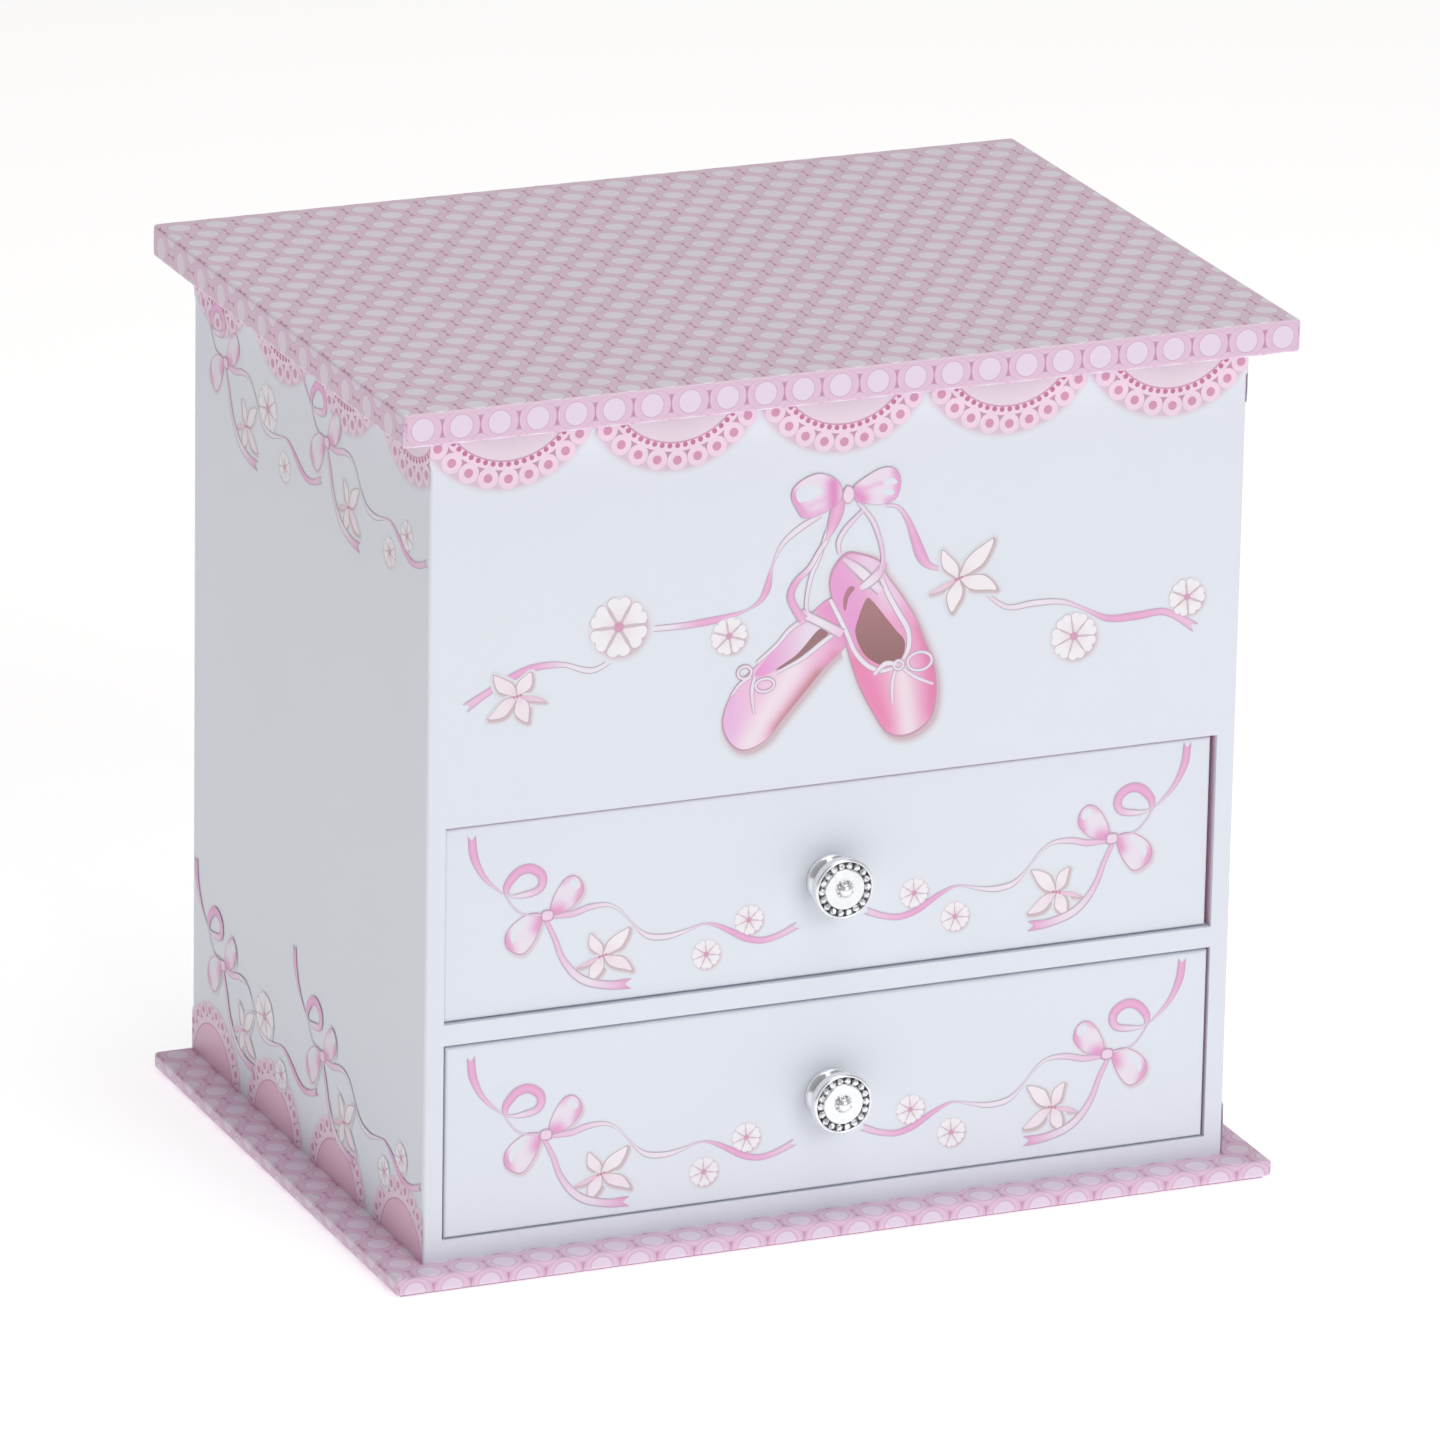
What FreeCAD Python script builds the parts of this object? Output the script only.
"""A ballerina jewellery box: a papered board case with a hinged, mirrored lid, two drawers, and a wind-up
musical movement that turns a dancer on a spring. Every physical piece is a solid in its own STEP file.

Millimetres. X runs to the right, Y to the back, Z up. The origin is the centre of the base's underside.
"""

import FreeCAD, Part
import math
import os

V = FreeCAD.Vector
X_AXIS = V(1, 0, 0)
Y_AXIS = V(0, 1, 0)
Z_AXIS = V(0, 0, 1)

# ---------------------------------------------------------------- driving dimensions of the case
BODY_W = 192.0          # outside width of the case
BODY_D = 143.0          # outside depth of the case
RIM_Z = 193.0           # top of the walls, where the lid rests
SIDE_OVERHANG = 9.0     # lid and base beyond the case at each side
FRONT_OVERHANG = 7.5    # lid and base beyond the case at the front
LID_BACK_OVERHANG = 2.5
BASE_BACK_OVERHANG = 1.0
LID_T = 7.5             # lid board
BASE_T = 4.5            # base board with its felt
FELT_T = 0.6
WALL_T = 4.5            # side and back walls
PANEL_T = 4.75          # front panel, shelf and bottom board
FLOOR_T = 4.0           # floor of the upper compartment
DRAWER_OPENING_H = 45.0
EDGE_R = 0.9            # rounding of the papered edges

BASE_D = FRONT_OVERHANG + BODY_D + BASE_BACK_OVERHANG
FRONT_Y = -BASE_D / 2 + FRONT_OVERHANG      # front face of the case
BACK_Y = FRONT_Y + BODY_D                   # back face of the case
HALF_W = BODY_W / 2
INNER_X = HALF_W - WALL_T                   # inner face of a side wall
INNER_BACK_Y = BACK_Y - WALL_T
BOTTOM_TOP_Z = BASE_T + PANEL_T
SHELF_Z = BOTTOM_TOP_Z + DRAWER_OPENING_H
SHELF_TOP_Z = SHELF_Z + PANEL_T
FLOOR_Z = SHELF_TOP_Z + DRAWER_OPENING_H
FLOOR_TOP_Z = FLOOR_Z + FLOOR_T
INNER_FRONT_Y = FRONT_Y + PANEL_T

# ---------------------------------------------------------------- lid furniture
LINING_T = 1.5          # padded card panel inside the lid
LINING_GAP = 1.2        # between that panel and the walls
MIRROR_W, MIRROR_D, MIRROR_T = 132.0, 84.0, 1.3
MIRROR_FRAME_BACK = 24.0    # lining left behind the mirror

# ---------------------------------------------------------------- hinges
HINGE_X = 58.0          # each hinge's distance from the middle
HINGE_L = 24.0
KNUCKLE_R = 1.4
HINGE_PIN_R = 0.6
HINGE_BORE_CLEARANCE = 0.05
KNUCKLE_GAP = 0.2
LEAF_T = 0.5
LEAF_GAP = 0.1          # from the parting plane to each leaf
HINGE_Y = BACK_Y + KNUCKLE_R
HINGE_Z = RIM_Z
HINGE_SCREW_R = 0.6
HINGE_SCREW_HEAD_R = 1.1
HINGE_SCREW_HEAD_T = 0.25 / 3
HINGE_SCREW_L = 5.0
HINGE_SCREW_INSET = 2.3     # from the back wall's inner face to the screws' line
KNUCKLE_RELIEF = 0.35       # room left in the boards round a knuckle
KNUCKLE_RELIEF_END = 0.3
LEAF_INSET = 0.45           # from the back wall's inner face to a leaf
LEAF_KNUCKLE_GAP = 0.1      # between a leaf and the other leaf's knuckles

# ---------------------------------------------------------------- drawers
DRAWER_FRONT_T = 6.0
DRAWER_GAP_X = 0.6
DRAWER_GAP_BELOW = 0.3
DRAWER_GAP_ABOVE = 0.7
DRAWER_BOARD_T = 3.0
DRAWER_BOTTOM_T = 2.5
DRAWER_L = 128.0        # front face to back face
DRAWER_SIDE_H = 35.0
DRAWER_LINING_T = 1.2
DRAWER_SLIDE_GAP = 1.0  # between a drawer's side and the case

# ---------------------------------------------------------------- drawer knobs
KNOB_R = 7.1
KNOB_FLANGE_R = 6.0
KNOB_NECK_R = 4.2
KNOB_L = 9.4
KNOB_SCREW_DEPTH = 5.5
KNOB_SCREW_R = 1.5
KNOB_SCREW_HEAD_R = 3.2

# ---------------------------------------------------------------- stage over the movement
STAGE_H = 40.0
STAGE_T = 3.0
STAGE_D = 38.75
STAGE_Z = FLOOR_TOP_Z + STAGE_H
STAGE_FRONT_Y = INNER_BACK_Y - STAGE_D
ROLL_R = 6.0
ROLL_PITCH = 12.2
ROLL_L = 36.0
ROLL_COUNT = 3
TRAY_LINING_T = 1.5
SPINDLE_HOLE_R = 1.6        # the turntable spindle passes through the stage

# ---------------------------------------------------------------- musical movement
BLOCK_T = 9.0
BEDPLATE_T = 2.0
BED_FRONT_Y = INNER_BACK_Y - BLOCK_T - BEDPLATE_T
AXIS_STANDOFF = 8.6                     # bedplate's front to the cylinder's axis
AXIS_Y = BED_FRONT_Y - AXIS_STANDOFF
AXIS_Z = FLOOR_TOP_Z + 23.5
CROWN_TEETH, PINION_TEETH = 48, 12
CROWN_R = 11.0                          # mean radius of the crown teeth
PINION_R = CROWN_R * PINION_TEETH / CROWN_TEETH
CROWN_ADDENDUM, CROWN_DEDENDUM = 0.5, 0.65
CROWN_TOOTH_W = 0.45
CROWN_FACE = 1.2                        # radial length of a crown tooth
PINION_FACE = 1.0
BARREL_R, BARREL_L, BARREL_WALL = 9.6, 10.0, 0.8
ARBOR_R = 1.5
ARBOR_WAY_R = 3.5                       # the hole in the wood that the winding arbor passes through
RUNNING_CLEARANCE = 0.05
WHEEL_TEETH, LEAF_TEETH = 36, 9         # governor train: wheels and small pinions
MODULE = 0.4
CENTRES = MODULE * (WHEEL_TEETH + LEAF_TEETH) / 2 + 0.1
CYLINDER_X0, CYLINDER_L, CYLINDER_R = 14.5, 19.0, 6.5
MUSIC_PIN_R, MUSIC_PIN_H = 0.2, 0.45
COMB_TEETH, COMB_PITCH, COMB_T = 18, 1.0, 1.0
GOVERNOR_X0, GOVERNOR_X1 = 35.0, 47.0   # outer faces of the governor frame
FLY_R = 5.0
SMALL_ARBOR_R = 0.75
SPINDLE_R = 1.0                         # the turntable's spindle
BED_SCREW_R, BED_SCREW_L, BED_SCREW_HEAD_R = 0.9, 6.0, 1.7
COMB_SCREW_R, COMB_SCREW_HEAD_R = 1.0, 1.8
KEY_SPAN = 27.0

# ---------------------------------------------------------------- dancer
FOLD_DEG = 60.0                         # how far the closed lid bends the dancer forward
SPRING_L = 10.0
SPRING_COIL_R = 2.2
SPRING_WIRE_R = 0.4
TURNTABLE_R = 9.0
SPRING_Z0 = STAGE_Z + 3.5
SPRING_BEND_R = SPRING_L / math.radians(FOLD_DEG)
PIVOT_UP = SPRING_BEND_R * math.tan(math.radians(FOLD_DEG) / 2)
PIVOT = V(0, AXIS_Y, SPRING_Z0 + PIVOT_UP)
TUTU_R = 15.0


# ---------------------------------------------------------------- helpers
def box(x0, x1, y0, y1, z0, z1):
    return Part.makeBox(x1 - x0, y1 - y0, z1 - z0, V(x0, y0, z0))


def rod(radius, start, end):
    """A round bar from one point to another."""
    along = end - start
    return Part.makeCylinder(radius, along.Length, start, along)


def turned(profile, origin, axis):
    """A solid of revolution. profile lists (radius, distance along the axis) points of a closed outline."""
    points = [V(r, 0, h) for r, h in profile]
    face = Part.Face(Part.makePolygon(points + points[:1]))
    solid = face.revolve(V(0, 0, 0), Z_AXIS, 360)
    solid.Placement = FreeCAD.Placement(origin, FreeCAD.Rotation(Z_AXIS, axis))
    return solid


def ease(solid, radius, keep):
    """Rounds the straight edges that keep(edge's middle, edge's direction) picks."""
    edges = []
    for edge in solid.Edges:
        a, b = edge.Vertexes[0].Point, edge.Vertexes[-1].Point
        direction = (b - a).normalize()
        if keep((a + b) / 2, direction):
            edges.append(edge)
    return solid.makeFillet(radius, edges)


def every_edge(middle, direction):
    return True


def fused(solids):
    return solids[0].multiFuse(solids[1:]).removeSplitter()


def toothed_disc(teeth, tip_r, root_r, root_w, tip_w, width):
    """A spur gear about Z, from z = 0 up, with straight-flanked teeth. One tooth points along +X."""
    points = []
    for i in range(teeth):
        middle = 2 * math.pi * i / teeth
        for radius, half in ((root_r, -root_w / 2), (tip_r, -tip_w / 2), (tip_r, tip_w / 2), (root_r, root_w / 2)):
            angle = middle + half / radius
            points.append(V(radius * math.cos(angle), radius * math.sin(angle), 0))
    return Part.Face(Part.makePolygon(points + points[:1])).extrude(V(0, 0, width))


def along_x(solid, x, y, z, turn_deg=0.0):
    """Puts a solid made about Z onto an axis along X: its old X points along +Y, turned on by turn_deg."""
    solid = solid.copy()
    solid.rotate(V(0, 0, 0), Z_AXIS, turn_deg)
    solid.rotate(V(0, 0, 0), V(1, 1, 1), 120)
    solid.translate(V(x, y, z))
    return solid


def save(name, *solids):
    os.makedirs("parts", exist_ok=True)
    shape = solids[0] if len(solids) == 1 else Part.Compound(list(solids))
    for solid in shape.Solids:
        assert solid.isValid() and solid.Volume > 0, name
    shape.exportStep(os.path.join("parts", name + ".step"))
    print(f"{name}: {len(shape.Solids)} solid(s), {sum(s.Volume for s in shape.Solids):.1f} mm3")


# ---------------------------------------------------------------- case
def lid_hinge_relief():
    """The space round both hinges' knuckles, and the screws' pilot holes, as a cutting tool."""
    cuts = []
    for side in (-1, 1):
        x0 = side * HINGE_X - HINGE_L / 2
        start = V(x0 - KNUCKLE_RELIEF_END, HINGE_Y, HINGE_Z)
        end = V(x0 + HINGE_L + KNUCKLE_RELIEF_END, HINGE_Y, HINGE_Z)
        cuts.append(rod(KNUCKLE_R + KNUCKLE_RELIEF, start, end))
    return cuts


def leaf_recess(z0, z1):
    """Shallow mortises for the hinge leaves, between two heights, open at the boards' back edge."""
    y0, y1 = INNER_BACK_Y + LEAF_INSET - 0.25, HINGE_Y + 2 * KNUCKLE_R
    return [box(side * HINGE_X - HINGE_L / 2, side * HINGE_X + HINGE_L / 2, y0, y1, z0, z1) for side in (-1, 1)]


def hinge_screw_places():
    """Where the leaf screws stand, as (x, y) points."""
    y = INNER_BACK_Y + HINGE_SCREW_INSET
    return [(side * HINGE_X + step, y) for side in (-1, 1) for step in (-HINGE_L / 3, HINGE_L / 3)]


def case_boards():
    lid_w = HALF_W + SIDE_OVERHANG
    base = box(-lid_w, lid_w, -BASE_D / 2, BASE_D / 2, FELT_T, BASE_T)
    save("base_plate", ease(base, EDGE_R, every_edge))
    felt_margin = 1.5
    save("base_felt", box(-lid_w + felt_margin, lid_w - felt_margin,
                          -BASE_D / 2 + felt_margin, BASE_D / 2 - felt_margin, 0, FELT_T))

    for name, side in (("left_wall", -1), ("right_wall", 1)):
        x0, x1 = sorted((side * INNER_X, side * HALF_W))
        wall = box(x0, x1, FRONT_Y, BACK_Y, BASE_T, RIM_Z)
        outer = side * HALF_W
        wall = ease(wall, EDGE_R, lambda m, d: abs(d.z) > 0.9 and abs(m.x - outer) < 0.01)
        save(name, wall)

    back = box(-INNER_X, INNER_X, INNER_BACK_Y, BACK_Y, BASE_T, RIM_Z)
    back = back.cut(lid_hinge_relief() + leaf_recess(RIM_Z - LEAF_GAP - LEAF_T, RIM_Z + 1))
    pilots = [rod(HINGE_SCREW_R, V(x, y, RIM_Z - HINGE_SCREW_L - 1), V(x, y, RIM_Z))
              for x, y in hinge_screw_places()]
    arbor_way = rod(ARBOR_WAY_R, V(0, INNER_BACK_Y - 1, AXIS_Z), V(0, BACK_Y + 1, AXIS_Z))
    back = back.cut(pilots + [arbor_way])
    save("back_wall", back)

    save("front_panel", box(-INNER_X, INNER_X, FRONT_Y, INNER_FRONT_Y, FLOOR_Z, RIM_Z))
    save("compartment_floor", box(-INNER_X, INNER_X, INNER_FRONT_Y, INNER_BACK_Y, FLOOR_Z, FLOOR_TOP_Z))
    save("drawer_shelf", box(-INNER_X, INNER_X, FRONT_Y, INNER_BACK_Y, SHELF_Z, SHELF_TOP_Z))
    save("bottom_board", box(-INNER_X, INNER_X, FRONT_Y, INNER_BACK_Y, BASE_T, BOTTOM_TOP_Z))


# ---------------------------------------------------------------- lid
def lid():
    lid_w = HALF_W + SIDE_OVERHANG
    board = box(-lid_w, lid_w, FRONT_Y - FRONT_OVERHANG, BACK_Y + LID_BACK_OVERHANG, RIM_Z, RIM_Z + LID_T)
    board = ease(board, EDGE_R, every_edge)
    board = board.cut(lid_hinge_relief() + leaf_recess(RIM_Z - 1, RIM_Z + LEAF_GAP + LEAF_T))
    pilots = [rod(HINGE_SCREW_R, V(x, y, RIM_Z), V(x, y, RIM_Z + HINGE_SCREW_L + 1))
              for x, y in hinge_screw_places()]
    save("lid_board", board.cut(pilots))

    window_y1 = INNER_BACK_Y - MIRROR_FRAME_BACK
    window = box(-MIRROR_W / 2, MIRROR_W / 2, window_y1 - MIRROR_D, window_y1, RIM_Z - LINING_T - 1, RIM_Z)
    lining = box(-INNER_X + LINING_GAP, INNER_X - LINING_GAP, INNER_FRONT_Y + LINING_GAP,
                 INNER_BACK_Y - LINING_GAP, RIM_Z - LINING_T, RIM_Z)
    save("lid_lining", lining.cut(window))
    save("lid_mirror", box(-MIRROR_W / 2, MIRROR_W / 2, window_y1 - MIRROR_D, window_y1, RIM_Z - MIRROR_T, RIM_Z))


def hinge_leaf(side, upward):
    """One leaf of one hinge. The lid's leaf is upward, with the middle knuckle; the wall's has the outer two."""
    x0 = side * HINGE_X - HINGE_L / 2
    third = HINGE_L / 3
    z0 = RIM_Z + LEAF_GAP if upward else RIM_Z - LEAF_GAP - LEAF_T
    outer_spans = [(0, third - KNUCKLE_GAP), (2 * third + KNUCKLE_GAP, HINGE_L)]
    spans = [(third, 2 * third)] if upward else outer_spans
    plate = box(x0, x0 + HINGE_L, INNER_BACK_Y + LEAF_INSET, HINGE_Y - KNUCKLE_R - LEAF_KNUCKLE_GAP, z0, z0 + LEAF_T)
    pieces = [plate]
    for a, b in spans:
        pieces.append(rod(KNUCKLE_R, V(x0 + a, HINGE_Y, HINGE_Z), V(x0 + b, HINGE_Y, HINGE_Z)))
        pieces.append(box(x0 + a, x0 + b, HINGE_Y - KNUCKLE_R - 2 * LEAF_KNUCKLE_GAP, HINGE_Y, z0, z0 + LEAF_T))
    leaf = fused(pieces)
    bore = HINGE_PIN_R + (HINGE_BORE_CLEARANCE if upward else 0)
    leaf = leaf.cut(rod(bore, V(x0 - 1, HINGE_Y, HINGE_Z), V(x0 + HINGE_L + 1, HINGE_Y, HINGE_Z)))
    holes = [rod(HINGE_SCREW_R, V(x, y, z0 - 1), V(x, y, z0 + 2))
             for x, y in hinge_screw_places() if x * side > 0]
    return leaf.cut(holes)


def hinge_screw(x, y, upward):
    """A leaf screw: a low round head on the leaf's open side, and a shank into the board."""
    if upward:
        head_z, tip_z = RIM_Z + LEAF_GAP, RIM_Z + LEAF_GAP + LEAF_T + HINGE_SCREW_L
        head = rod(HINGE_SCREW_HEAD_R, V(x, y, head_z - HINGE_SCREW_HEAD_T), V(x, y, head_z))
    else:
        head_z, tip_z = RIM_Z - LEAF_GAP, RIM_Z - LEAF_GAP - LEAF_T - HINGE_SCREW_L
        head = rod(HINGE_SCREW_HEAD_R, V(x, y, head_z), V(x, y, head_z + HINGE_SCREW_HEAD_T))
    return head.fuse(rod(HINGE_SCREW_R, V(x, y, head_z), V(x, y, tip_z))).removeSplitter()


def hinges():
    save("hinge_wall_leaves", *[hinge_leaf(side, False) for side in (-1, 1)])
    save("hinge_lid_leaves", *[hinge_leaf(side, True) for side in (-1, 1)])
    half = HINGE_L / 2
    save("hinge_pins", *[
        rod(HINGE_PIN_R, V(side * HINGE_X - half, HINGE_Y, HINGE_Z), V(side * HINGE_X + half, HINGE_Y, HINGE_Z))
        for side in (-1, 1)
    ])
    save("hinge_wall_screws", *[hinge_screw(x, y, False) for x, y in hinge_screw_places()])
    save("hinge_lid_screws", *[hinge_screw(x, y, True) for x, y in hinge_screw_places()])


# ---------------------------------------------------------------- drawers
def knob(centre):
    """A turned drawer knob that stands out along -Y: flange, neck, a rim with a sunk face, and a small button."""
    rim_in, face_in, button_r = KNOB_R - 0.8, KNOB_R * 0.72, 1.6
    profile = [(0, 0), (KNOB_FLANGE_R, 0), (KNOB_FLANGE_R, 1.0), (KNOB_FLANGE_R - 0.6, 1.6),
               (KNOB_NECK_R, 2.2), (KNOB_NECK_R, 3.6), (KNOB_R - 0.9, 4.8), (KNOB_R, 5.8), (KNOB_R, 7.2),
               (rim_in, 8.2), (face_in, 7.9), (face_in - 1.2, 8.2), (button_r, 8.4), (button_r - 0.4, KNOB_L),
               (0, KNOB_L)]
    body = turned(profile, centre, V(0, -1, 0))
    return body.cut(rod(KNOB_SCREW_R, centre + V(0, 1, 0), centre + V(0, -KNOB_SCREW_DEPTH, 0)))


def drawer(prefix, opening_z, shift_x, set_back):
    """A drawer in the opening whose bottom is at opening_z, a little off centre and set back as it rests."""
    face_y = FRONT_Y + set_back
    half = INNER_X - DRAWER_GAP_X
    z0 = opening_z + DRAWER_GAP_BELOW
    z1 = opening_z + DRAWER_OPENING_H - DRAWER_GAP_ABOVE
    inner_y = face_y + DRAWER_FRONT_T
    end_y = face_y + DRAWER_L
    side_x = INNER_X - DRAWER_SLIDE_GAP
    inside_x = side_x - DRAWER_BOARD_T
    knob_z = (z0 + z1) / 2

    front = box(shift_x - half, shift_x + half, face_y, inner_y, z0, z1)
    front = ease(front, 0.7, lambda m, d: abs(m.y - face_y) < 0.01)
    screw_way = rod(KNOB_SCREW_R, V(shift_x, face_y - 1, knob_z), V(shift_x, inner_y + 1, knob_z))
    save(prefix + "_front", front.cut(screw_way))
    for name, side in (("_left_side", -1), ("_right_side", 1)):
        x0, x1 = sorted((side * inside_x, side * side_x))
        save(prefix + name, box(shift_x + x0, shift_x + x1, inner_y, end_y, z0, z0 + DRAWER_SIDE_H))
    save(prefix + "_back", box(shift_x - inside_x, shift_x + inside_x, end_y - DRAWER_BOARD_T, end_y,
                               z0, z0 + DRAWER_SIDE_H))
    save(prefix + "_bottom", box(shift_x - inside_x, shift_x + inside_x, inner_y, end_y - DRAWER_BOARD_T,
                                 z0, z0 + DRAWER_BOTTOM_T))
    pad = 0.4
    save(prefix + "_lining", box(shift_x - inside_x + pad, shift_x + inside_x - pad, inner_y + pad,
                                 end_y - DRAWER_BOARD_T - pad, z0 + DRAWER_BOTTOM_T,
                                 z0 + DRAWER_BOTTOM_T + DRAWER_LINING_T))
    centre = V(shift_x, face_y, knob_z)
    save(prefix + "_knob", knob(centre))
    head = rod(KNOB_SCREW_HEAD_R, V(shift_x, inner_y, knob_z), V(shift_x, inner_y + 1.8, knob_z))
    slot = box(shift_x - 4, shift_x + 4, inner_y + 1.0, inner_y + 2.5, knob_z - 0.4, knob_z + 0.4)
    shank = rod(KNOB_SCREW_R, V(shift_x, inner_y, knob_z), V(shift_x, face_y - KNOB_SCREW_DEPTH + 0.5, knob_z))
    save(prefix + "_knob_screw", head.cut(slot).fuse(shank).removeSplitter())


# ---------------------------------------------------------------- inside the upper compartment
def stage_and_tray():
    top = box(-INNER_X, INNER_X, STAGE_FRONT_Y, INNER_BACK_Y, STAGE_Z - STAGE_T, STAGE_Z)
    spindle_hole = rod(SPINDLE_HOLE_R, V(0, AXIS_Y, STAGE_Z - 5), V(0, AXIS_Y, STAGE_Z + 1))
    rod_hole = rod(STOP_ROD_R + STOP_ROD_CLEARANCE, V(STOP_ROD_X, STOP_ROD_Y, STAGE_Z - 5),
                   V(STOP_ROD_X, STOP_ROD_Y, STAGE_Z + 1))
    save("stage_top", top.cut([spindle_hole, rod_hole]))
    save("stage_front", box(-INNER_X, INNER_X, STAGE_FRONT_Y, STAGE_FRONT_Y + STAGE_T,
                            FLOOR_TOP_Z, STAGE_Z - STAGE_T))
    pad = 0.4
    save("tray_lining", box(-INNER_X + pad, INNER_X - pad, INNER_FRONT_Y + pad, STAGE_FRONT_Y - pad,
                            FLOOR_TOP_Z, FLOOR_TOP_Z + TRAY_LINING_T))
    for name, side in (("ring_rolls_left", -1), ("ring_rolls_right", 1)):
        x0 = side * (INNER_X - 1.0 - ROLL_L / 2) - ROLL_L / 2
        rolls = []
        for i in range(ROLL_COUNT):
            y = STAGE_FRONT_Y + STAGE_D / 2 + (i - (ROLL_COUNT - 1) / 2) * ROLL_PITCH
            roll = rod(ROLL_R, V(x0, y, STAGE_Z + 3.0), V(x0 + ROLL_L, y, STAGE_Z + 3.0))
            below = box(x0 - 1, x0 + ROLL_L + 1, y - 10, y + 10, STAGE_Z - 10, STAGE_Z)
            rolls.append(roll.cut(below))
        save(name, *rolls)


# ---------------------------------------------------------------- movement: fixed pieces
FLY_Y = AXIS_Y - CENTRES
FLY_Z = AXIS_Z - CENTRES
STOP_ROD_R = 0.7
STOP_ROD_CLEARANCE = 0.08
STOP_ROD_X = 43.0
STOP_ROD_Y = 64.0
COMB_X0 = CYLINDER_X0 + 0.5
COMB_TIP_Z = AXIS_Z - CYLINDER_R - MUSIC_PIN_H - 0.15
COMB_BASE_Z = COMB_TIP_Z - 14.5
COMB_ROOT_Z = COMB_TIP_Z - 9.0
COMB_X1 = COMB_X0 + COMB_TEETH * COMB_PITCH
BEDPLATE_X0, BEDPLATE_X1 = -16.0, 35.0
BEDPLATE_Z0, BEDPLATE_Z1 = FLOOR_TOP_Z + 1.2, STAGE_Z - STAGE_T - 0.4


def comb_screw_places():
    z = (COMB_BASE_Z + COMB_ROOT_Z) / 2
    return [(COMB_X0 + 4, z), (COMB_X1 - 4, z)]


def mounting_screw_places():
    inset = 3.0
    left, right = BEDPLATE_X0 + inset, BEDPLATE_X1 - 2 * inset
    low, high = BEDPLATE_Z0 + 1.8, BEDPLATE_Z1 - 1.8
    return [(left, low), (left, high), (right, high), (COMB_X0 - 4, low)]


def movement_frame():
    block = box(BEDPLATE_X0 - 2, BEDPLATE_X1 + 2, INNER_BACK_Y - BLOCK_T, INNER_BACK_Y,
                FLOOR_TOP_Z, STAGE_Z - STAGE_T)
    arbor_way = rod(ARBOR_WAY_R, V(0, INNER_BACK_Y - BLOCK_T - 1, AXIS_Z), V(0, INNER_BACK_Y + 1, AXIS_Z))
    screw_end_y = BED_FRONT_Y + BEDPLATE_T + BED_SCREW_L
    ways = [rod(BED_SCREW_R, V(x, BED_FRONT_Y - 1, z), V(x, screw_end_y + 0.5, z))
            for x, z in mounting_screw_places()]
    save("movement_block", block.cut([arbor_way] + ways))

    plate = box(BEDPLATE_X0, BEDPLATE_X1, BED_FRONT_Y, BED_FRONT_Y + BEDPLATE_T, BEDPLATE_Z0, BEDPLATE_Z1)
    lug_x = CROWN_R + CROWN_FACE / 2 + 0.8
    bearing_lug = box(lug_x, lug_x + 1.6, AXIS_Y - 2.6, BED_FRONT_Y, AXIS_Z - 2.4, AXIS_Z + 2.4)
    spindle_lug = box(-3.5, 3.5, AXIS_Y - 3.0, BED_FRONT_Y, AXIS_Z + CROWN_R + 0.95, AXIS_Z + CROWN_R + 2.0)
    comb_boss = box(COMB_X0, COMB_X1, AXIS_Y + COMB_T / 2, BED_FRONT_Y, COMB_BASE_Z, COMB_ROOT_Z)
    arbor_boss = rod(3.4, V(0, BED_FRONT_Y - 1.6, AXIS_Z), V(0, BED_FRONT_Y, AXIS_Z))
    bed = fused([plate, bearing_lug, spindle_lug, comb_boss, arbor_boss])
    bores = [
        rod(ARBOR_R + RUNNING_CLEARANCE, V(0, BED_FRONT_Y - 3, AXIS_Z), V(0, BED_FRONT_Y + 3, AXIS_Z)),
        rod(SMALL_ARBOR_R + RUNNING_CLEARANCE, V(lug_x - 1, AXIS_Y, AXIS_Z), V(lug_x + 3, AXIS_Y, AXIS_Z)),
        rod(SPINDLE_R + RUNNING_CLEARANCE, V(0, AXIS_Y, AXIS_Z + CROWN_R), V(0, AXIS_Y, AXIS_Z + CROWN_R + 4)),
    ]
    bores += [rod(COMB_SCREW_R, V(x, AXIS_Y - 2, z), V(x, BED_FRONT_Y, z)) for x, z in comb_screw_places()]
    bores += [rod(BED_SCREW_R, V(x, BED_FRONT_Y - 1, z), V(x, BED_FRONT_Y + 3, z))
              for x, z in mounting_screw_places()]
    save("movement_bedplate", bed.cut(bores))

    screws = []
    for x, z in mounting_screw_places():
        head = rod(BED_SCREW_HEAD_R, V(x, BED_FRONT_Y - 1.0, z), V(x, BED_FRONT_Y, z))
        shank = rod(BED_SCREW_R, V(x, BED_FRONT_Y, z), V(x, screw_end_y, z))
        screws.append(head.fuse(shank).removeSplitter())
    save("movement_screws", *screws)


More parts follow.
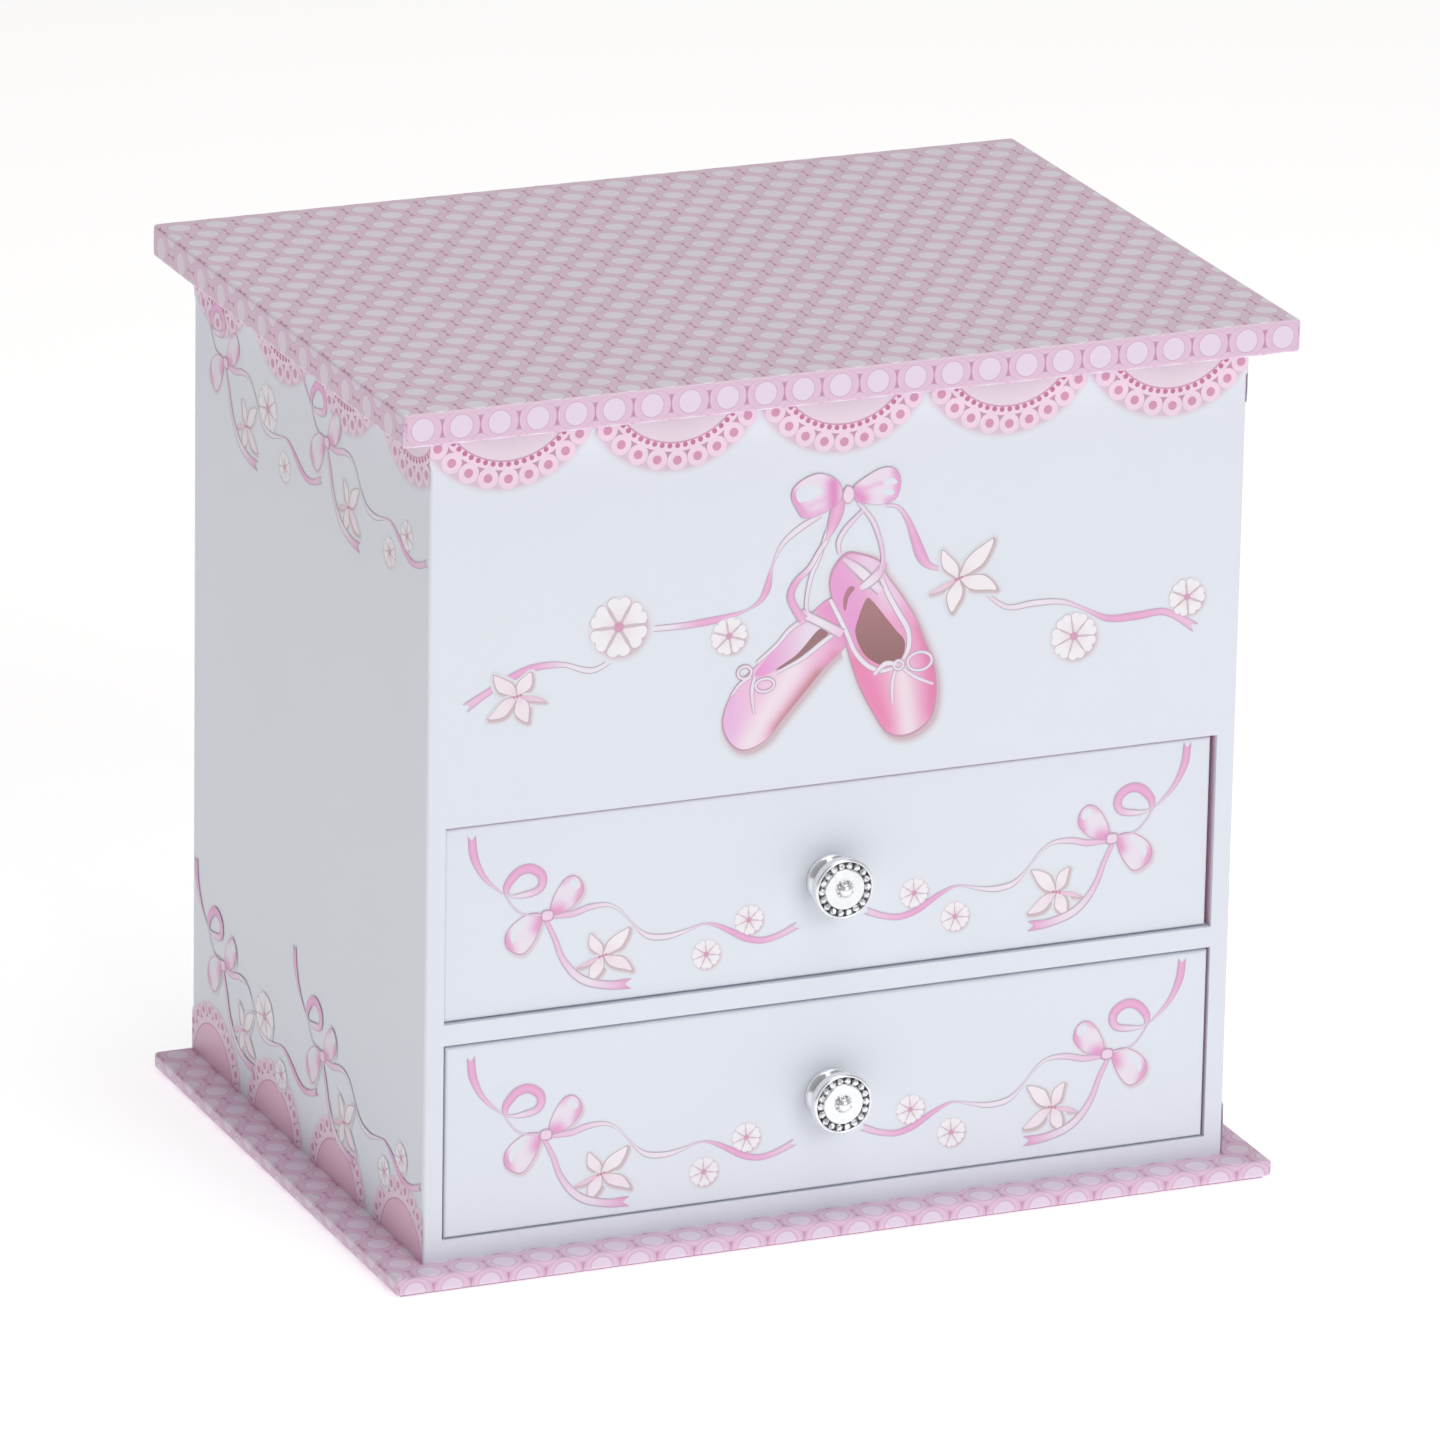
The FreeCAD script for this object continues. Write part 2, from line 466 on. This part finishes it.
def music_comb():
    """A steel comb with one tuned tooth for each note, its tips just under the cylinder's pins."""
    y0, y1 = AXIS_Y - COMB_T / 2, AXIS_Y + COMB_T / 2
    comb = box(COMB_X0, COMB_X1, y0, y1, COMB_BASE_Z, COMB_TIP_Z)
    slot = 0.25
    cuts = [box(COMB_X0 + i * COMB_PITCH - slot / 2, COMB_X0 + i * COMB_PITCH + slot / 2, y0 - 1, y1 + 1,
                COMB_ROOT_Z, COMB_TIP_Z + 1) for i in range(1, COMB_TEETH)]
    cuts += [rod(COMB_SCREW_R, V(x, y0 - 1, z), V(x, y1 + 1, z)) for x, z in comb_screw_places()]
    save("music_comb", comb.cut(cuts))
    screws = []
    for x, z in comb_screw_places():
        head = rod(COMB_SCREW_HEAD_R, V(x, y0 - 1.2, z), V(x, y0, z))
        slot = box(x - 2, x + 2, y0 - 1.3, y0 - 0.8, z - 0.2, z + 0.2)
        shank = rod(COMB_SCREW_R, V(x, y0, z), V(x, BED_FRONT_Y - 1, z))
        screws.append(head.cut(slot).fuse(shank).removeSplitter())
    save("comb_screws", *screws)


def governor_frame():
    """Two plates and three pillars that carry the cylinder's outer end and the governor's arbors."""
    y0, y1 = AXIS_Y - 16.0, BED_FRONT_Y
    z0, z1 = AXIS_Z - 20.5, AXIS_Z + 9.5
    plate_t = 1.0
    plates = [box(GOVERNOR_X0, GOVERNOR_X0 + plate_t, y0, y1, z0, z1),
              box(GOVERNOR_X1 - plate_t, GOVERNOR_X1, y0, y1, z0, z1)]
    pillars = [rod(1.0, V(GOVERNOR_X0, y, z), V(GOVERNOR_X1, y, z))
               for y, z in ((AXIS_Y - 10.5, AXIS_Z + 7.0), (AXIS_Y + 6.8, AXIS_Z + 7.8), (AXIS_Y - 3.0, AXIS_Z - 18.9))]
    frame = fused(plates + pillars)
    bore = SMALL_ARBOR_R + RUNNING_CLEARANCE
    bores = [rod(bore, V(GOVERNOR_X0 - 1, y, z), V(GOVERNOR_X1 + 1, y, z))
             for y, z in ((AXIS_Y, AXIS_Z), (AXIS_Y, AXIS_Z - CENTRES), (FLY_Y, FLY_Z))]
    save("governor_frame", frame.cut(bores))


# ---------------------------------------------------------------- movement: moving pieces
def small_wheel(width):
    pitch_r = MODULE * WHEEL_TEETH / 2
    return toothed_disc(WHEEL_TEETH, pitch_r + 0.38, pitch_r - 0.5, 0.55, 0.28, width)


def small_pinion(width):
    pitch_r = MODULE * LEAF_TEETH / 2
    return toothed_disc(LEAF_TEETH, pitch_r + 0.38, pitch_r - 0.5, 0.50, 0.28, width)


def crown_pinion():
    return toothed_disc(PINION_TEETH, PINION_R + 0.42, PINION_R - 0.65, 0.55, 0.30, PINION_FACE)


def spring_barrel():
    """The drum that the mainspring drives, with a crown of teeth that faces forward round its rim."""
    pitch_y = AXIS_Y + PINION_R
    root_y = pitch_y + CROWN_DEDENDUM
    centre = V(0, 0, AXIS_Z)
    disc = rod(CROWN_R + CROWN_FACE / 2, centre + V(0, root_y, 0), centre + V(0, root_y + 1.2, 0))
    teeth = []
    for i in range(CROWN_TEETH):
        tooth = box(CROWN_R - CROWN_FACE / 2, CROWN_R + CROWN_FACE / 2 - 0.02, pitch_y - CROWN_ADDENDUM, root_y + 0.2,
                    AXIS_Z - CROWN_TOOTH_W / 2, AXIS_Z + CROWN_TOOTH_W / 2)
        tooth.rotate(centre, Y_AXIS, 360.0 * (i + 0.5) / CROWN_TEETH)
        teeth.append(tooth)
    cup = rod(BARREL_R, centre + V(0, root_y - BARREL_L, 0), centre + V(0, root_y, 0))
    hollow = rod(BARREL_R - BARREL_WALL, centre + V(0, root_y - BARREL_L + BARREL_WALL, 0),
                 centre + V(0, root_y, 0))
    barrel = fused([disc] + teeth + [cup.cut(hollow)])
    bore = rod(ARBOR_R + RUNNING_CLEARANCE, centre + V(0, root_y - BARREL_L - 1, 0),
               centre + V(0, root_y + 3, 0))
    save("spring_barrel", barrel.cut(bore))

    save("mainspring", spiral_strip(2.6, 8.5, 0.9, 0.25, root_y - BARREL_L + BARREL_WALL + 0.3, root_y - 0.3))


def spiral_strip(r0, r1, pitch, thickness, y0, y1):
    """A coiled flat spring about the barrel's axis, drawn as half circles that each grow by half a pitch."""
    turns = int((r1 - r0) / (pitch / 2))

    def half_circles(radius):
        edges, x, sign = [], 0.0, 1
        start = V(x + radius, 0, 0)
        for _ in range(turns):
            end = V(start.x - sign * 2 * radius, 0, 0)
            middle = V((start.x + end.x) / 2, sign * radius, 0)
            edges.append(Part.Arc(start, middle, end).toShape())
            start, sign, radius = end, -sign, radius + pitch / 4
        return edges

    inner, outer = half_circles(r0), half_circles(r0 + thickness)
    ends = [Part.makeLine(inner[0].Vertexes[0].Point, outer[0].Vertexes[0].Point),
            Part.makeLine(inner[-1].Vertexes[-1].Point, outer[-1].Vertexes[-1].Point)]
    wire = Part.Wire(Part.__sortEdges__(inner + outer + ends))
    strip = Part.Face(wire).extrude(V(0, 0, y1 - y0))
    strip.rotate(V(0, 0, 0), X_AXIS, -90)
    strip.translate(V(0, y0, AXIS_Z))
    return strip


def winding():
    """The arbor that winds the mainspring, and the key on its end behind the case."""
    front_y = AXIS_Y + PINION_R + CROWN_DEDENDUM - BARREL_L - 1.0
    stem_y = BACK_Y + 7.0
    arbor = rod(ARBOR_R, V(0, front_y, AXIS_Z), V(0, stem_y, AXIS_Z))
    clip = rod(2.4, V(0, front_y, AXIS_Z), V(0, front_y + 0.6, AXIS_Z))
    collar_y = AXIS_Y + PINION_R + CROWN_DEDENDUM + 1.2 + 0.15
    collar = rod(2.6, V(0, collar_y, AXIS_Z), V(0, BED_FRONT_Y - 1.6 - 0.15, AXIS_Z))
    save("winding_arbor", fused([arbor, clip, collar]))

    hub_y = BACK_Y + 1.2
    hub = turned([(0, 0), (3.2, 0), (3.2, 7.5), (2.6, 8.5), (0, 8.5)], V(0, hub_y, AXIS_Z), Y_AXIS)
    wings = []
    for side in (-1, 1):
        wing = Part.makeCylinder(6.2, 2.2, V(side * (KEY_SPAN / 2 - 6.2), hub_y + 8.0, AXIS_Z - 1.1), Z_AXIS)
        web = box(min(0, side * 6), max(0, side * 6), hub_y + 5.0, hub_y + 11.5, AXIS_Z - 1.1, AXIS_Z + 1.1)
        eye = Part.makeCylinder(2.6, 5, V(side * (KEY_SPAN / 2 - 6.2), hub_y + 8.0, AXIS_Z - 2.5), Z_AXIS)
        wings += [wing.cut(eye), web.cut(eye)]
    key = fused([hub] + wings)
    save("winding_key", key.cut(rod(ARBOR_R, V(0, hub_y - 1, AXIS_Z), V(0, stem_y, AXIS_Z))))


def music_cylinder():
    """The pinned drum with its arbor and crown pinion, and the wheel on its far end."""
    drum = rod(CYLINDER_R, V(CYLINDER_X0, AXIS_Y, AXIS_Z), V(CYLINDER_X0 + CYLINDER_L, AXIS_Y, AXIS_Z))
    pinion_x = CROWN_R - PINION_FACE / 2
    arbor = rod(SMALL_ARBOR_R, V(pinion_x, AXIS_Y, AXIS_Z), V(GOVERNOR_X0 + 3.6, AXIS_Y, AXIS_Z))
    pinion = along_x(crown_pinion(), pinion_x, AXIS_Y, AXIS_Z)
    pins = []
    for note in range(COMB_TEETH):
        x = COMB_X0 + (note + 0.5) * COMB_PITCH
        for beat in range(4 + note % 3):
            angle = math.radians((note * 47 + beat * 83 + 20) % 360)
            out = V(0, math.cos(angle), math.sin(angle))
            foot = V(x, AXIS_Y, AXIS_Z) + out * (CYLINDER_R - 0.5)
            pins.append(Part.makeCylinder(MUSIC_PIN_R, MUSIC_PIN_H + 0.5, foot, out))
    save("music_cylinder", fused([drum, arbor, pinion] + pins))
    wheel = along_x(small_wheel(1.0), GOVERNOR_X0 + 2.0, AXIS_Y, AXIS_Z, -90 + 180.0 / WHEEL_TEETH)
    bore = rod(SMALL_ARBOR_R, V(GOVERNOR_X0, AXIS_Y, AXIS_Z), V(GOVERNOR_X0 + 5, AXIS_Y, AXIS_Z))
    save("cylinder_wheel", wheel.cut(bore))


def governor():
    """The step-up wheel, and the fly whose vanes slow the train against the air."""
    y, z = AXIS_Y, AXIS_Z - CENTRES
    arbor = rod(SMALL_ARBOR_R, V(GOVERNOR_X0 + 0.2, y, z), V(GOVERNOR_X1 - 0.2, y, z))
    pinion = along_x(small_pinion(1.4), GOVERNOR_X0 + 1.8, y, z, 90)
    wheel = along_x(small_wheel(1.0), GOVERNOR_X0 + 4.2, y, z, 180 + 180.0 / WHEEL_TEETH)
    save("governor_wheel", fused([arbor, pinion, wheel]))

    fly_arbor = rod(SMALL_ARBOR_R, V(GOVERNOR_X0 + 0.2, FLY_Y, FLY_Z), V(GOVERNOR_X1 - 0.2, FLY_Y, FLY_Z))
    fly_pinion = along_x(small_pinion(1.4), GOVERNOR_X0 + 4.0, FLY_Y, FLY_Z, 0)
    vane_x = GOVERNOR_X0 + 6.2
    vane = box(vane_x, vane_x + 4.2, FLY_Y - FLY_R, FLY_Y + FLY_R, FLY_Z - 0.4, FLY_Z + 0.4)
    hub = rod(1.4, V(vane_x, FLY_Y, FLY_Z), V(vane_x + 4.2, FLY_Y, FLY_Z))
    save("governor_fly", fused([fly_arbor, fly_pinion, vane, hub]))


def stop_rod():
    """The wire that the lid pushes down. Its foot comes down over the fly and stops the music."""
    foot_z = FLY_Z + FLY_R + STOP_ROD_R + 0.4
    top_z = RIM_Z - LINING_T - 0.35
    upright = rod(STOP_ROD_R, V(STOP_ROD_X, STOP_ROD_Y, foot_z), V(STOP_ROD_X, STOP_ROD_Y, top_z - STOP_ROD_R))
    tip = Part.makeSphere(STOP_ROD_R, V(STOP_ROD_X, STOP_ROD_Y, top_z - STOP_ROD_R))
    elbow = Part.makeSphere(STOP_ROD_R, V(STOP_ROD_X, STOP_ROD_Y, foot_z))
    foot = rod(STOP_ROD_R, V(STOP_ROD_X, FLY_Y, foot_z), V(STOP_ROD_X, STOP_ROD_Y, foot_z))
    save("stop_rod", fused([upright, tip, elbow, foot]))


# ---------------------------------------------------------------- dancer
def turntable():
    """The spindle that the barrel's crown turns, with the round plate that carries the dancer's spring."""
    pinion_z = AXIS_Z + CROWN_R - PINION_FACE / 2
    pinion = crown_pinion()
    pinion.translate(V(0, AXIS_Y, pinion_z))
    spindle = rod(SPINDLE_R, V(0, AXIS_Y, pinion_z), V(0, AXIS_Y, STAGE_Z + 1))
    plate = turned([(0, 0.4), (TURNTABLE_R, 0.4), (TURNTABLE_R, 1.2), (TURNTABLE_R - 0.5, 1.7), (3.2, 1.9),
                    (2.8, 3.0), (1.5, 3.0), (1.5, 4.6), (0, 4.6)], V(0, AXIS_Y, STAGE_Z), Z_AXIS)
    save("turntable", fused([pinion, spindle, plate]))


def bend_frame(arc):
    """Point and direction on the bent spring's centre line, arc millimetres from its foot."""
    angle = arc / SPRING_BEND_R
    point = V(0, AXIS_Y - SPRING_BEND_R * (1 - math.cos(angle)), SPRING_Z0 + SPRING_BEND_R * math.sin(angle))
    return point, V(0, -math.sin(angle), math.cos(angle))


def spring():
    """The close-wound spring, one ring to a coil, bent forward as the closed lid holds it."""
    coils = 9
    rings = []
    for i in range(coils):
        point, direction = bend_frame((i + 0.5) * (SPRING_L - 1.0) / coils + 0.3)
        rings.append(Part.makeTorus(SPRING_COIL_R, SPRING_WIRE_R, point, direction))
    save("ballerina_spring", *rings)


def stood(solid):
    """Turns a piece modelled upright over the pivot's origin into its folded place."""
    solid = solid.copy()
    solid.rotate(V(0, 0, 0), X_AXIS, FOLD_DEG)
    solid.translate(PIVOT)
    return solid


def arm(side, chest, head):
    """An arm raised over the head: three straight lengths with a ball at each joint."""
    shoulder, elbow = V(side * 1.9, 0, chest + 0.6), V(side * 4.6, -0.2, chest + 2.6)
    wrist, fingertips = V(side * 5.6, -0.4, head + 1.4), V(side * 1.2, -0.6, head + 6.0)
    arm_r, ball_r = 0.75, 0.78
    lengths = [rod(arm_r, shoulder, elbow), rod(arm_r, elbow, wrist), rod(arm_r, wrist, fingertips)]
    return lengths + [Part.makeSphere(ball_r, place) for place in (elbow, wrist, fingertips)]


def dancer():
    """The figure, on pointe with her arms raised, the collar that her spring ends in, and her stiff tutu."""
    collar = turned([(0, 5.7), (2.6, 5.7), (2.6, 7.4), (1.8, 8.2), (0, 8.2)], V(0, 0, 0), Z_AXIS)
    save("spring_collar", stood(collar))

    toe, knee, hip, waist, chest, neck, head = 8.5, 17.0, 26.0, 30.0, 34.5, 37.0, 41.0
    plinth = rod(1.7, V(0, 0, 8.2), V(0, 0, 9.4))
    leg_profile = [(0, toe), (0.85, toe), (1.35, knee), (1.75, hip), (0, hip)]
    legs = [turned(leg_profile, V(side * 0.95, 0, 0), Z_AXIS) for side in (-1, 1)]
    torso = turned([(0, hip - 2), (2.6, hip - 1), (2.9, hip + 0.5), (1.9, waist), (2.6, chest), (1.0, neck - 0.4),
                    (0.9, head), (0, head)], V(0, 0, 0), Z_AXIS)
    skull = Part.makeSphere(2.7, V(0, 0, head))
    bun = Part.makeSphere(1.4, V(0, 1.5, head + 2.4))
    arms = arm(-1, chest, head) + arm(1, chest, head)
    save("ballerina_figure", stood(fused([plinth, torso, skull, bun] + legs + arms)))

    tutu = turned([(3.1, hip - 0.2), (TUTU_R, hip - 0.9), (TUTU_R, hip - 0.3), (3.4, hip + 1.2), (3.1, hip + 1.2)],
                  V(0, 0, 0), Z_AXIS)
    save("ballerina_tutu", stood(tutu))


def main():
    case_boards()
    lid()
    hinges()
    drawer("upper_drawer", SHELF_TOP_Z, -0.4, 1.0)
    drawer("lower_drawer", BOTTOM_TOP_Z, 0.0, 0.2)
    stage_and_tray()
    movement_frame()
    music_comb()
    governor_frame()
    spring_barrel()
    winding()
    music_cylinder()
    governor()
    stop_rod()
    turntable()
    spring()
    dancer()
    print("hinge axis", HINGE_Y, HINGE_Z, "pivot", tuple(PIVOT), "axis", AXIS_Y, AXIS_Z, "fly", FLY_Y, FLY_Z)


main()
